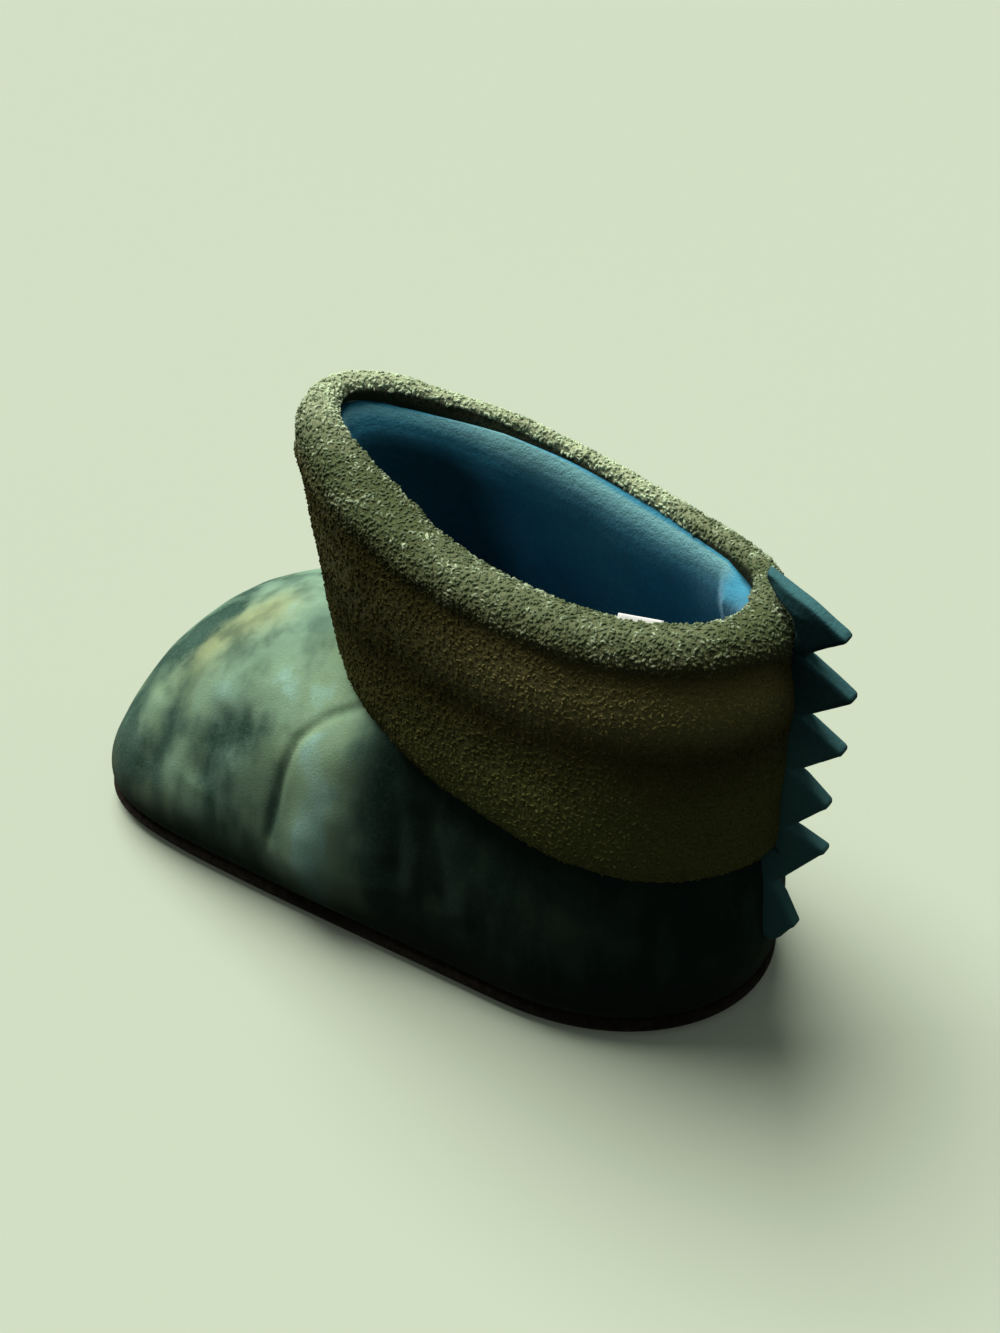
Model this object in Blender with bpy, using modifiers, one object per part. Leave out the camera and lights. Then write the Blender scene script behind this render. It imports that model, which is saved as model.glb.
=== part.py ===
"""Slipper boot for a small child: a soft bootie on a thin flat sole, with a padded cuff round the
shaft and a ridge of cloth spikes down the back seam.

Run it with blender --background --python part.py, or from Blender's text editor.
Every shape is worked out in millimetres from the back of the heel: X runs to the toe, Y to the left, Z up.
The vertices are stored in metres, and the empty that carries the pieces centres them on the origin.
"""

import math
from collections import namedtuple

import bmesh
import bpy
from mathutils import Vector

MM = 0.001

# Driving sizes, in millimetres
SOLE_LENGTH = 166.0
BALL_WIDTH = 76.0
COLLAR_HEIGHT = 106.5
SOLE_THICKNESS = 5.0
UPPER_WALL = 2.5
INSOLE_THICKNESS = 3.2
RIDGE_THICKNESS = 3.6
GAP = 0.3

# Fineness of the lofts
SIDE_STEPS = 24
LEVELS_PER_ROW = 2
OUTLINE_SAMPLES = 240

# The upper in sections from the sole edge to above the collar. Lengths are in percent of the sole length, half
# widths and asides in percent of half the ball width, and rises in percent of the way from the sole to the collar.
# ball_at and heel_at say where along the section the toe's curve and the heel's curve begin. The asides move the
# section's two ends to the left: the slack shaft is turned a little on the foot.
Section = namedtuple(
    "Section",
    "front back front_rise side_rise back_rise ball heel ball_at heel_at squareness front_aside back_aside",
)
SECTIONS = {
    "sole edge": Section(100.4, 0.0, 0.0, 0.0, 0.0, 98.0, 95.5, 66, 27, 4.6, 0, 0),
    "welt roll": Section(101.0, -0.6, 5.6, 5.6, 5.6, 101.5, 98.0, 66, 27, 4.1, 0, 0),
    "toe bulge": Section(99.9, -0.8, 13.5, 13.5, 13.5, 101.5, 98.0, 66, 27, 3.3, 0, 0),
    "toe wall": Section(96.9, -0.6, 23.9, 21.4, 21.4, 98.5, 95.5, 66, 28, 2.8, 0, 0),
    "toe dome": Section(91.8, -0.4, 34.3, 28.4, 27.9, 94.0, 91.0, 65, 29, 2.6, 0, 0),
    "dome top": Section(85.0, 0.0, 43.7, 34.8, 32.8, 88.5, 85.5, 64, 31, 2.5, 0, 0),
    "vamp": Section(74.6, 0.5, 53.6, 39.8, 36.8, 82.0, 80.0, 60, 33, 2.3, -1, 0),
    "throat": Section(63.0, 1.0, 60.0, 44.6, 40.7, 76.0, 76.0, 58, 36, 2.1, -3, 0),
    "ankle": Section(64.0, 1.3, 69.0, 54.0, 51.1, 74.5, 74.0, 56, 37, 2.0, -6, 0),
    "shaft": Section(67.0, 1.0, 84.0, 72.0, 71.8, 70.7, 70.3, 52, 38, 2.0, -11, 0),
    "shaft top": Section(69.6, 0.6, 95.6, 86.2, 87.6, 67.6, 67.2, 49, 39, 2.0, -15, 1),
    "collar": Section(70.4, 1.4, 104.0, 94.2, 98.6, 64.8, 64.4, 47, 39, 2.0, -17, 1),
    "above collar": Section(70.2, 2.4, 110.4, 100.8, 105.0, 61.8, 61.4, 47, 39, 2.0, -18, 1),
}
ROWS = list(SECTIONS.values())
LEVEL_OF = {name: level for level, name in enumerate(SECTIONS)}
COLLAR = LEVEL_OF["collar"]
HEM = LEVEL_OF["throat"]
HEEL_SQUARENESS = 2.0

# The cuff's closed cross-section. level counts sections of the table above, and stand is how far the point
# stands off the upper's outer face, in millimetres.
CuffPoint = namedtuple("CuffPoint", "level stand")
LIP = -(UPPER_WALL + GAP)
CUFF_INSIDE = [
    CuffPoint(HEM + step / LEVELS_PER_ROW, GAP) for step in range((COLLAR - HEM) * LEVELS_PER_ROW + 1)
]
CUFF_OVER_EDGE = [
    CuffPoint(COLLAR + 0.06, GAP),
    CuffPoint(COLLAR + 0.06, LIP),
    CuffPoint(COLLAR - 0.14, LIP),
]
CUFF_ROLL = [
    CuffPoint(COLLAR - 0.18, -3.5),
    CuffPoint(COLLAR + 0.02, -4.1),
    CuffPoint(COLLAR + 0.30, -3.7),
    CuffPoint(COLLAR + 0.53, -2.2),
    CuffPoint(COLLAR + 0.61, 0.0),
    CuffPoint(COLLAR + 0.50, 2.4),
    CuffPoint(COLLAR + 0.18, 4.2),
    CuffPoint(COLLAR - 0.30, 4.9),
    CuffPoint(COLLAR - 0.75, 4.6),
]
CUFF_OUTSIDE = [
    CuffPoint(HEM + 3.0, 4.3),
    CuffPoint(HEM + 2.4, 4.6),
    CuffPoint(HEM + 1.8, 4.9),
    CuffPoint(HEM + 1.2, 5.0),
    CuffPoint(HEM + 0.6, 4.9),
    CuffPoint(HEM + 0.18, 4.4),
]
CUFF_HEM = [CuffPoint(HEM - 0.06, 3.2), CuffPoint(HEM - 0.14, 1.6)]
CUFF_PROFILE = CUFF_INSIDE + CUFF_OVER_EDGE + CUFF_ROLL + CUFF_OUTSIDE + CUFF_HEM

# The sole's side, from the floor up: height, and how far it stands off the upper's bottom outline.
# toe_inset is how much further back the flat of the underside ends at the toe, which gives the toe its spring.
SoleStep = namedtuple("SoleStep", "height stand toe_inset")
SOLE_SIDE = [
    SoleStep(0.0, -2.2, 9.0),
    SoleStep(0.9, -0.5, 2.5),
    SoleStep(2.2, 0.5, 0.0),
    SoleStep(3.8, 0.6, 0.0),
    SoleStep(SOLE_THICKNESS, -0.3, 0.0),
]
TOE_SPRING = 1.6

# The spike ridge, a row for each spike from the collar down: the tip and the notch under it,
# each with its height and how far it reaches behind the back seam.
Spike = namedtuple("Spike", "tip_height tip_reach notch_height notch_reach")
SPIKES = [
    Spike(107.0, 11.8, 100.4, 2.0),
    Spike(93.4, 12.6, 84.8, 1.8),
    Spike(78.6, 11.6, 69.6, 1.6),
    Spike(62.8, 9.8, 53.6, 1.6),
    Spike(50.0, 10.4, 36.0, 1.8),
    Spike(25.4, 6.8, 18.2, 1.8),
]
TIP_ROUNDING = 1.1
RIDGE_RISE = 4.5

# Finish of each piece: colour, roughness
FINISHES = {
    "outsole": ((0.035, 0.030, 0.024), 0.90),
    "insole": ((0.045, 0.160, 0.230), 0.90),
    "upper": ((0.080, 0.150, 0.125), 0.80),
    "cuff": ((0.120, 0.130, 0.060), 0.95),
    "spike_ridge": ((0.060, 0.190, 0.220), 0.90),
}


def section_at(level):
    """The section at a level between two rows, on a Catmull-Rom curve through the table."""
    last = len(ROWS) - 1
    row = min(int(level), last - 1)
    t = level - row
    before, start, end, after = (ROWS[min(max(row + step, 0), last)] for step in (-1, 0, 1, 2))
    return Section(
        *(
            b + 0.5 * t * (c - a + t * (2 * a - 5 * b + 4 * c - d + t * (3 * (b - c) + d - a)))
            for a, b, c, d in zip(before, start, end, after)
        )
    )


def rise_to_height(rise):
    bottom = SOLE_THICKNESS + GAP
    return bottom + rise / 100 * (COLLAR_HEIGHT - bottom)


def half_outline(section):
    """The left half of a section seen from above, as samples from its front to its back, with their heights."""
    front = section.front / 100 * SOLE_LENGTH
    back = section.back / 100 * SOLE_LENGTH
    length = front - back
    ball_x = back + section.ball_at / 100 * length
    heel_x = back + section.heel_at / 100 * length
    ball_y = section.ball / 100 * BALL_WIDTH / 2
    heel_y = section.heel / 100 * BALL_WIDTH / 2
    points = []
    third = OUTLINE_SAMPLES // 3
    for step in range(third):
        turn = math.pi / 2 * step / third
        along = math.cos(turn) ** (2 / section.squareness)
        across = math.sin(turn) ** (2 / section.squareness)
        points.append((ball_x + (front - ball_x) * along, ball_y * across))
    for step in range(third):
        share = step / third
        ease = share * share * (3 - 2 * share)
        points.append((ball_x + (heel_x - ball_x) * share, ball_y + (heel_y - ball_y) * ease))
    for step in range(third + 1):
        turn = math.pi / 2 * step / third
        along = math.sin(turn) ** (2 / HEEL_SQUARENESS)
        across = abs(math.cos(turn)) ** (2 / HEEL_SQUARENESS)
        points.append((heel_x - (heel_x - back) * along, heel_y * across))
    low, middle, high = (
        rise_to_height(r) for r in (section.back_rise, section.side_rise, section.front_rise)
    )
    bend = 2 * (low + high - 2 * middle)
    samples = []
    for x, y in points:
        share = (x - back) / length
        samples.append(Vector((x, y, low + share * (high - low - bend) + share * share * bend)))
    return samples


def evenly_spaced(points, steps):
    """steps + 1 points at equal distances along a line of points."""
    lengths = [0.0]
    for a, b in zip(points, points[1:]):
        lengths.append(lengths[-1] + (b - a).length)
    spaced, at = [], 0
    for step in range(steps + 1):
        wanted = lengths[-1] * step / steps
        while at < len(points) - 2 and lengths[at + 1] < wanted:
            at += 1
        span = lengths[at + 1] - lengths[at]
        spaced.append(points[at].lerp(points[at + 1], (wanted - lengths[at]) / span))
    return spaced


def ring(level):
    """The upper's outer face at a level, as a closed loop from the front round the left side to the back and on."""
    section = section_at(level)
    left = evenly_spaced(half_outline(section), SIDE_STEPS)
    left[0].y = left[-1].y = 0.0
    loop = left + [Vector((p.x, -p.y, p.z)) for p in left[-2:0:-1]]
    front, back = left[0].x, left[-1].x
    for point in loop:
        share = (point.x - back) / (front - back)
        aside = section.back_aside + (section.front_aside - section.back_aside) * share
        point.y += aside / 100 * BALL_WIDTH / 2
    return loop


def standing_off(level, stand):
    """The loop at a level, moved off the upper's outer face by a distance along the face's normal."""
    reach = 0.04
    low, here, high = (ring(min(max(level + d, 0), len(ROWS) - 1)) for d in (-reach, 0.0, reach))
    count = len(here)
    moved = []
    for i, point in enumerate(here):
        around = here[(i + 1) % count] - here[i - 1]
        normal = around.cross(high[i] - low[i]).normalized()
        if level == 0:
            normal = Vector((normal.x, normal.y, 0.0)).normalized()
        moved.append(point + normal * stand)
    return moved


def loft(name, loops, closed):
    """A mesh object skinned over loops of equal count, either closed on itself or capped at both ends."""
    mesh = bmesh.new()
    rows = [[mesh.verts.new(p * MM) for p in loop] for loop in loops]
    pairs = list(zip(rows, rows[1:])) + ([(rows[-1], rows[0])] if closed else [])
    for lower, upper in pairs:
        for i in range(len(lower)):
            j = (i + 1) % len(lower)
            mesh.faces.new((lower[i], lower[j], upper[j], upper[i]))
    if not closed:
        mesh.faces.new(rows[0][::-1])
        mesh.faces.new(rows[-1])
    bmesh.ops.recalc_face_normals(mesh, faces=mesh.faces)
    return finished(name, mesh)


def finished(name, mesh):
    """Turns a bmesh into a named object with its material, in the boot's collection and under its empty."""
    data = bpy.data.meshes.new(name)
    mesh.to_mesh(data)
    mesh.free()
    data.shade_smooth()
    data.set_sharp_from_angle(angle=math.radians(50))
    colour, roughness = FINISHES[name]
    material = bpy.data.materials.new(name)
    material.use_nodes = True
    shader = material.node_tree.nodes["Principled BSDF"]
    shader.inputs["Base Color"].default_value = (*colour, 1.0)
    shader.inputs["Roughness"].default_value = roughness
    shader.inputs["Metallic"].default_value = 0.0
    data.materials.append(material)
    piece = bpy.data.objects.new(name, data)
    bpy.data.collections["slipper_boot"].objects.link(piece)
    piece.parent = bpy.data.objects["boot"]
    return piece


def make_upper():
    """One wall from the sole edge to the collar, open underneath and at the top."""
    levels = [step / LEVELS_PER_ROW for step in range(COLLAR * LEVELS_PER_ROW + 1)]
    outer = [standing_off(level, 0.0) for level in levels]
    inner = [standing_off(level, -UPPER_WALL) for level in reversed(levels)]
    return loft("upper", outer + inner, closed=True)


def make_cuff():
    """A padded sleeve over the shaft, rolled over the upper's top edge."""
    return loft("cuff", [standing_off(p.level, p.stand) for p in CUFF_PROFILE], closed=True)


def make_outsole():
    """A thin sole with a rounded side, flat underneath and lifted a little at the toe."""
    ball_x = SECTIONS["sole edge"].ball_at / 100 * SOLE_LENGTH
    loops = []
    for step in SOLE_SIDE:
        loop = standing_off(0, step.stand)
        for point in loop:
            toe = max(0.0, (point.x - ball_x) / (SOLE_LENGTH - ball_x)) ** 2
            point.x -= step.toe_inset * toe
            lift = 0.0 if step.height == 0 else TOE_SPRING * toe * (1 - step.height / SOLE_THICKNESS)
            point.z = step.height + lift
        loops.append(loop)
    return loft("outsole", loops, closed=False)


def make_insole():
    """A footbed inside the upper, on the sole."""
    bottom = SOLE_THICKNESS + GAP
    inset = -(UPPER_WALL + GAP)
    loops = []
    for rise, stand in ((0.0, inset), (INSOLE_THICKNESS - 0.8, inset), (INSOLE_THICKNESS, inset - 0.8)):
        loop = standing_off(0, stand)
        for point in loop:
            point.z = bottom + rise
        loops.append(loop)
    return loft("insole", loops, closed=False)


def back_seam():
    """The line that the ridge is sewn along, from the collar's roll down the cuff and the heel."""
    back = SIDE_STEPS
    behind = Vector((-GAP, 0.0, 0.0))
    line = [standing_off(p.level, p.stand)[back] + behind for p in CUFF_ROLL[5:] + CUFF_OUTSIDE]
    hem = min(standing_off(p.level, p.stand)[back].z for p in CUFF_HEM) - 2 * GAP
    line.append(Vector((line[-1].x, line[-1].y, hem)))
    level = HEM - 0.1
    point = standing_off(level, 0.0)[back]
    while point.z > SPIKES[-1].notch_height:
        if point.z <= hem:
            line.append(point + behind)
        level -= 0.3
        point = standing_off(level, 0.0)[back]
    return line


def seam_point(line, height):
    """The seam's point at a height."""
    for above, below in zip(line, line[1:]):
        if below.z <= height <= above.z and above.z > below.z:
            return above.lerp(below, (above.z - height) / (above.z - below.z))
    return line[-1] if height < line[-1].z else line[0]


def make_spike_ridge():
    """A padded zigzag strip that stands up along the back seam."""
    line = back_seam()
    corners = []
    for spike in SPIKES:
        for reach, height in (
            (spike.tip_reach - 0.5 * TIP_ROUNDING, spike.tip_height + TIP_ROUNDING),
            (spike.tip_reach, spike.tip_height),
            (spike.tip_reach - TIP_ROUNDING, spike.tip_height - 0.8 * TIP_ROUNDING),
            (spike.notch_reach, spike.notch_height),
        ):
            seam = seam_point(line, height)
            corners.append(Vector((seam.x - reach, seam.y, height)))
    top = line[0] + Vector((0.0, 0.0, RIDGE_RISE))
    outline = [top] + line + corners[::-1]
    half = Vector((0.0, RIDGE_THICKNESS / 2, 0.0))
    mesh = bmesh.new()
    left = [mesh.verts.new((p + half) * MM) for p in outline]
    right = [mesh.verts.new((p - half) * MM) for p in outline]
    mesh.faces.new(left)
    mesh.faces.new(right[::-1])
    for i in range(len(left)):
        j = (i + 1) % len(left)
        mesh.faces.new((left[j], left[i], right[i], right[j]))
    bmesh.ops.recalc_face_normals(mesh, faces=mesh.faces)
    ridge = finished("spike_ridge", mesh)
    rounding = ridge.modifiers.new("rounding", "BEVEL")
    rounding.width = 0.6 * MM
    rounding.segments = 2
    rounding.limit_method = "ANGLE"
    rounding.angle_limit = math.radians(60)
    return ridge


def clear_scene():
    for old in list(bpy.data.objects):
        bpy.data.objects.remove(old)
    collection = bpy.data.collections.new("slipper_boot")
    bpy.context.scene.collection.children.link(collection)
    collection.objects.link(bpy.data.objects.new("boot", None))


def centre_over_origin(pieces):
    """Moves the empty so that the boot's box is centred on the origin along its length."""
    bpy.context.view_layer.update()
    graph = bpy.context.evaluated_depsgraph_get()
    ends = [corner[0] for piece in pieces for corner in piece.evaluated_get(graph).bound_box]
    bpy.data.objects["boot"].location.x = -(min(ends) + max(ends)) / 2


def main():
    clear_scene()
    pieces = [make_outsole(), make_insole(), make_upper(), make_cuff(), make_spike_ridge()]
    centre_over_origin(pieces)


main()
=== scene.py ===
"""Slipper boot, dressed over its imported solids: a velour foot, a looped terry cuff with a rolled rim, a blue
fleece lining, a felt spike ridge down the back seam and a thin dark sole. Lengths in the tables are millimetres
in the row frame: X to the toe, Y to the wearer's left, Z up."""

import math
from collections import namedtuple

import bpy
import numpy as np
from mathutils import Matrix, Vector, noise


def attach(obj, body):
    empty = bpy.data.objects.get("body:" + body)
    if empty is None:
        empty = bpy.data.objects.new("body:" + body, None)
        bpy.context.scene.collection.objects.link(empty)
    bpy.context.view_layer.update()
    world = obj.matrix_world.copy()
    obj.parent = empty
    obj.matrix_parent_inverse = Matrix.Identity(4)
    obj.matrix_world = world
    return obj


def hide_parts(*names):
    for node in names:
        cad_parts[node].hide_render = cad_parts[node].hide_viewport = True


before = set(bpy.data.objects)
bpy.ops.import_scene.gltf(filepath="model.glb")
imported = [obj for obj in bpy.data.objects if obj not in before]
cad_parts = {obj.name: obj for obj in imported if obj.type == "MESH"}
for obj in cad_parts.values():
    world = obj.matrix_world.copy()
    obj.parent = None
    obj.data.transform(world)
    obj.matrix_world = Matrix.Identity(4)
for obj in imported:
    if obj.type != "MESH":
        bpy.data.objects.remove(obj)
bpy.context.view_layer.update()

MM = 0.001

# Camera
TARGET = (34.51, -62.08, 0.0)
EYE = (-261.5, 385.1, 450.0)
LENS = 74.03

# Soft troughs and ridges of the foot. height is above the plain form, a trough's below zero, and at its width from
# the line a fold has about a third of its height.
Fold = namedtuple("Fold", "height width line")
FOOT_FOLDS = {
    "vamp fold": Fold(-0.8, 1.2, [
        (6.0, 21.0, 62.0), (14.0, 23.6, 58.1), (20.9, 27.0, 53.8), (26.4, 31.1, 47.7), (28.2, 34.5, 39.9),
        (28.9, 36.4, 32.5), (30.5, 38.1, 23.1), (32.0, 38.7, 15.6),
    ]),
    "puffed side behind the fold": Fold(2.4, 9.0, [
        (1.0, 22.0, 60.0), (5.0, 25.4, 56.6), (11.0, 28.8, 52.2), (15.6, 32.6, 45.8), (16.8, 35.0, 38.4),
        (18.6, 37.0, 29.2), (20.4, 38.3, 19.0), (21.6, 38.9, 6.0),
    ]),
    "valley under the cuff": Fold(-1.3, 3.2, [
        (8.2, 26.6, 55.4), (3.0, 29.6, 50.8), (-1.6, 33.2, 41.1), (-3.1, 36.1, 30.1), (-2.6, 37.2, 22.0),
    ]),
    "crest under the cuff": Fold(0.6, 3.2, [
        (0.1, 30.0, 49.6), (-4.9, 33.4, 40.0), (-7.2, 36.3, 28.5), (-6.9, 37.3, 20.0),
    ]),
    "side crest": Fold(0.5, 4.0, [(15.4, 34.8, 38.2), (5.7, 36.8, 28.1), (0.9, 38.0, 16.1)]),
    "toe trough": Fold(-1.1, 5.0, [(63.6, 18.0, 45.4), (64.7, 27.9, 37.4), (65.6, 31.1, 31.6), (68.4, 36.0, 18.3)]),
    "toe crest": Fold(0.8, 4.5, [(70.8, 24.2, 36.4), (73.0, 31.3, 25.1), (73.6, 34.0, 18.9)]),
    "second toe trough": Fold(-0.8, 5.0, [
        (50.3, 27.9, 45.8), (50.6, 31.9, 39.5), (51.1, 35.0, 32.5), (52.1, 37.2, 24.4),
    ]),
    "toe dent": Fold(-1.2, 6.0, [(48.2, 32.8, 39.0), (44.0, 31.6, 43.1), (39.7, 30.6, 46.2)]),
    "ankle valley": Fold(-1.2, 3.6, [(-6.3, 31.0, 46.3), (-12.3, 34.7, 34.4), (-15.4, 37.2, 21.4)]),
    "ankle crest": Fold(0.9, 4.0, [(-14.0, 31.6, 44.0), (-20.0, 35.2, 32.0), (-23.0, 37.4, 20.0)]),
    "heel valley": Fold(-0.9, 4.4, [(-38.0, 33.0, 38.0), (-50.0, 31.0, 33.0), (-62.0, 26.0, 30.0)]),
}
# Strokes of painted light and shade on the velour, with the lie of its pile: pale above zero, where a face stands
# lit, on crests and on the crown, and dark below zero, painted shade in valleys and dents, behind the puffed side and
# along the toe's outer edge
Stroke = namedtuple("Stroke", "strength width line")
PILE_STROKES = {
    "crown of the toe": Stroke(0.25, 12.0, [(60.4, 3.8, 52.4), (50.6, 2.9, 58.0), (42.7, 0.7, 61.1)]),
    "upper toe": Stroke(0.2, 9.0, [(66.3, 19.6, 43.8), (57.9, 16.5, 50.6), (48.4, 10.5, 57.7), (37.7, 10.2, 60.7)]),
    "pale band": Stroke(0.55, 5.2, [(58.0, 27.5, 42.5), (50.6, 26.3, 47.5), (42.4, 27.5, 49.2), (35.9, 26.0, 52.0)]),
    "right of the toe": Stroke(0.5, 8.0, [(35.0, 24.0, 54.5), (25.8, 23.1, 56.8), (18.7, 22.4, 58.0)]),
    "front of the toe": Stroke(0.25, 5.0, [(74.0, 24.5, 34.0), (75.5, 27.9, 27.6), (75.0, 31.5, 22.4)]),
    "middle of the toe side": Stroke(0.25, 6.0, [(61.6, 33.8, 29.4), (60.3, 36.2, 24.1), (57.8, 37.7, 18.8)]),
    "face behind the fold": Stroke(1.45, 7.0, [
        (21.4, 31.5, 47.6), (17.8, 34.0, 42.1), (16.4, 35.6, 36.9), (17.6, 37.2, 28.8), (19.0, 38.3, 18.0),
    ]),
    "face by the cuff": Stroke(0.25, 4.5, [(20.0, 30.0, 50.0), (13.0, 26.5, 55.0)]),
    "low side": Stroke(1.0, 7.0, [(17.0, 37.6, 24.5), (15.0, 38.2, 18.0), (14.0, 38.6, 12.0)]),
    "dark toe band": Stroke(-0.7, 3.8, [
        (64.0, 25.1, 40.9), (64.6, 28.6, 36.4), (65.8, 31.3, 31.1), (67.8, 35.3, 21.2),
    ]),
    "dark dent": Stroke(-0.75, 4.2, [(50.5, 32.5, 38.6), (43.9, 31.7, 42.9), (38.0, 30.5, 46.4)]),
    "dark side": Stroke(-0.1, 7.0, [(50.3, 35.3, 32.7), (50.9, 36.8, 27.6), (44.0, 37.6, 24.0)]),
    "mid green": Stroke(-0.2, 7.0, [(52.0, 20.4, 51.5), (46.4, 18.0, 55.4), (40.6, 16.2, 58.3)]),
    "edge of the toe": Stroke(-1.15, 8.0, [
        (77.9, 31.8, 17.7), (79.4, 25.2, 26.9), (79.2, 20.0, 31.3), (77.3, 16.0, 36.2), (74.6, 11.4, 40.4),
        (70.8, 8.2, 44.8), (67.2, 4.9, 47.8),
    ]),
    "line of the vamp fold": Stroke(-0.5, 1.6, [
        (14.0, 23.6, 58.1), (20.9, 27.0, 53.8), (26.4, 31.1, 47.7), (28.2, 34.5, 39.9), (30.5, 38.1, 23.1),
    ]),
    "behind the puffed side": Stroke(-1.0, 6.0, [
        (5.0, 28.6, 51.8), (2.5, 32.4, 44.0), (0.5, 35.5, 32.0), (0.0, 37.4, 20.0),
    ]),
}
# Painted highlight: where the crown's velour is painted a paler, yellower green, as if lit from above
SUNNY_CROWN = [(64.0, 15.0, 47.0), (58.6, 10.8, 52.3), (52.0, 6.0, 57.0)]
# The far side isn't seen: its folds are the near side's, moved back a little and shallower, and its strokes weaker
FAR_SIDE_SHIFT = 3.5
FAR_SIDE_SHARE = 0.8
FAR_STROKE_SHARE = 0.35


# Handling of pieces

def pick(piece):
    bpy.ops.object.select_all(action="DESELECT")
    piece.select_set(True)
    bpy.context.view_layer.objects.active = piece


def edit(piece, *steps):
    """Runs edit-mode operators, each a (function, settings) pair, on the selected faces of a piece."""
    pick(piece)
    bpy.context.tool_settings.mesh_select_mode = (False, False, True)
    bpy.ops.object.mode_set(mode="EDIT")
    for step, settings in steps:
        step(**settings)
    bpy.ops.object.mode_set(mode="OBJECT")


def copy_of(node, name):
    """A copy of a solid's mesh as a new piece: merged, and turned back from triangles into quads."""
    piece = bpy.data.objects.new(name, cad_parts[node].data.copy())
    piece.data.name = name
    bpy.context.scene.collection.objects.link(piece)
    piece.data.materials.clear()
    pick(piece)
    bpy.ops.mesh.customdata_custom_splitnormals_clear()
    edit(
        piece,
        (bpy.ops.mesh.select_all, {"action": "SELECT"}),
        (bpy.ops.mesh.remove_doubles, {"threshold": 0.00001}),
        (bpy.ops.mesh.tris_convert_to_quads, {"face_threshold": math.pi, "shape_threshold": math.pi}),
    )
    bpy.ops.object.shade_smooth()
    return piece


def modify(piece, kind, **settings):
    """Adds a modifier with its settings and applies it."""
    pick(piece)
    modifier = piece.modifiers.new(kind.lower(), kind)
    for setting, value in settings.items():
        setattr(modifier, setting, value)
    bpy.ops.object.modifier_apply(modifier=modifier.name)


def subdivide(piece, levels):
    modify(piece, "SUBSURF", levels=levels, render_levels=levels)


def rows(items, field):
    """A field of three numbers, read from each of a mesh's items."""
    flat = np.empty(3 * len(items), np.float32)
    items.foreach_get(field, flat)
    return flat.reshape(-1, 3).astype(float)


def points_of(piece):
    """The vertices of a piece in millimetres."""
    return rows(piece.data.vertices, "co") / MM


def normals_of(piece):
    return rows(piece.data.vertex_normals, "vector")


def move_to(piece, points):
    piece.data.vertices.foreach_set("co", (points * MM).ravel())
    piece.data.update()


def face_centres(piece):
    return rows(piece.data.polygons, "center") / MM


def face_normals(piece):
    return rows(piece.data.polygons, "normal")


def select_faces(piece, wanted):
    mesh = piece.data
    mesh.vertices.foreach_set("select", np.zeros(len(mesh.vertices), bool))
    mesh.edges.foreach_set("select", np.zeros(len(mesh.edges), bool))
    mesh.polygons.foreach_set("select", np.asarray(wanted, bool))


def write_masks(piece, **masks):
    """Stores values at each vertex for the piece's material."""
    for name, values in masks.items():
        stored = piece.data.attributes.new(name, "FLOAT", "POINT")
        stored.data.foreach_set("value", np.asarray(values, np.float32))


def dress(piece, material, slot, *nodes):
    """Gives a piece its material, hangs it on the root body and hides the solids it stands for. slot is not used."""
    piece.data.materials.clear()
    piece.data.materials.append(material)
    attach(piece, "root")
    if nodes:
        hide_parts(*nodes)


# Shaping

def fade(values, ends):
    """An even step from the first end to the second."""
    return np.clip((values - ends[0]) / (ends[1] - ends[0]), 0, 1)


def ramp(values, ends):
    """A smooth step from the first end to the second."""
    t = fade(values, ends)
    return t * t * (3 - 2 * t)


def bell(distance, width):
    """1 at no distance, about a third at the width, and nothing far off."""
    return np.exp(-((distance / width) ** 2))


def unit(directions):
    return directions / np.linalg.norm(directions, axis=1)[:, None]


def along_line(points, line):
    """Each point's distance from a line of points, and how far along the line it lies, from 0 to 1."""
    line = [np.array(p, float) for p in line]
    lengths = [np.linalg.norm(b - a) for a, b in zip(line, line[1:])]
    best = np.full(len(points), np.inf)
    share = np.zeros(len(points))
    passed = 0.0
    for a, b, length in zip(line, line[1:], lengths):
        t = np.clip(((points - a) @ (b - a)) / length**2, 0, 1)
        distance = np.linalg.norm(points - a - t[:, None] * (b - a), axis=1)
        nearer = distance < best
        best[nearer] = distance[nearer]
        share[nearer] = (passed + t[nearer] * length) / sum(lengths)
        passed += length
    return best, share


# How a fold fades at the ends of its line, in shares of the line's length
FOLD_ENDS = (-0.06, 0.2)


def fold_heights(points, folds):
    """How far each point rises or sinks by the folds near it, faded at the ends of their lines."""
    rise = np.zeros(len(points))
    for fold in folds:
        distance, share = along_line(points, fold.line)
        ends = ramp(np.minimum(share, 1 - share), FOLD_ENDS)
        rise += fold.height * ends * bell(distance, fold.width)
    return rise


def mirrored(fold):
    line = [(x - FAR_SIDE_SHIFT, -y, z) for x, y, z in fold.line]
    return Fold(fold.height * FAR_SIDE_SHARE, fold.width, line)


Wave = namedtuple("Wave", "height size seed")


def lumps(points, waves):
    """Slow unevenness of stuffed cloth, the sum of its waves of noise."""
    rise = np.zeros(len(points))
    for wave in waves:
        offset = Vector((wave.seed, 2.7 * wave.seed, -1.3 * wave.seed))
        rise += wave.height * np.array([noise.noise(Vector(p) / wave.size + offset) for p in points])
    return rise


# The room inside the boot: a line over the footbed to the toe, and a plane up the shaft
ROOM_BACK, ROOM_TOE, ROOM_FRONT = -45.0, 62.0, 8.0
ROOM_LOW, ROOM_HIGH = 20.0, 96.0
ROOM_SOFTNESS = 12.0


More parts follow.
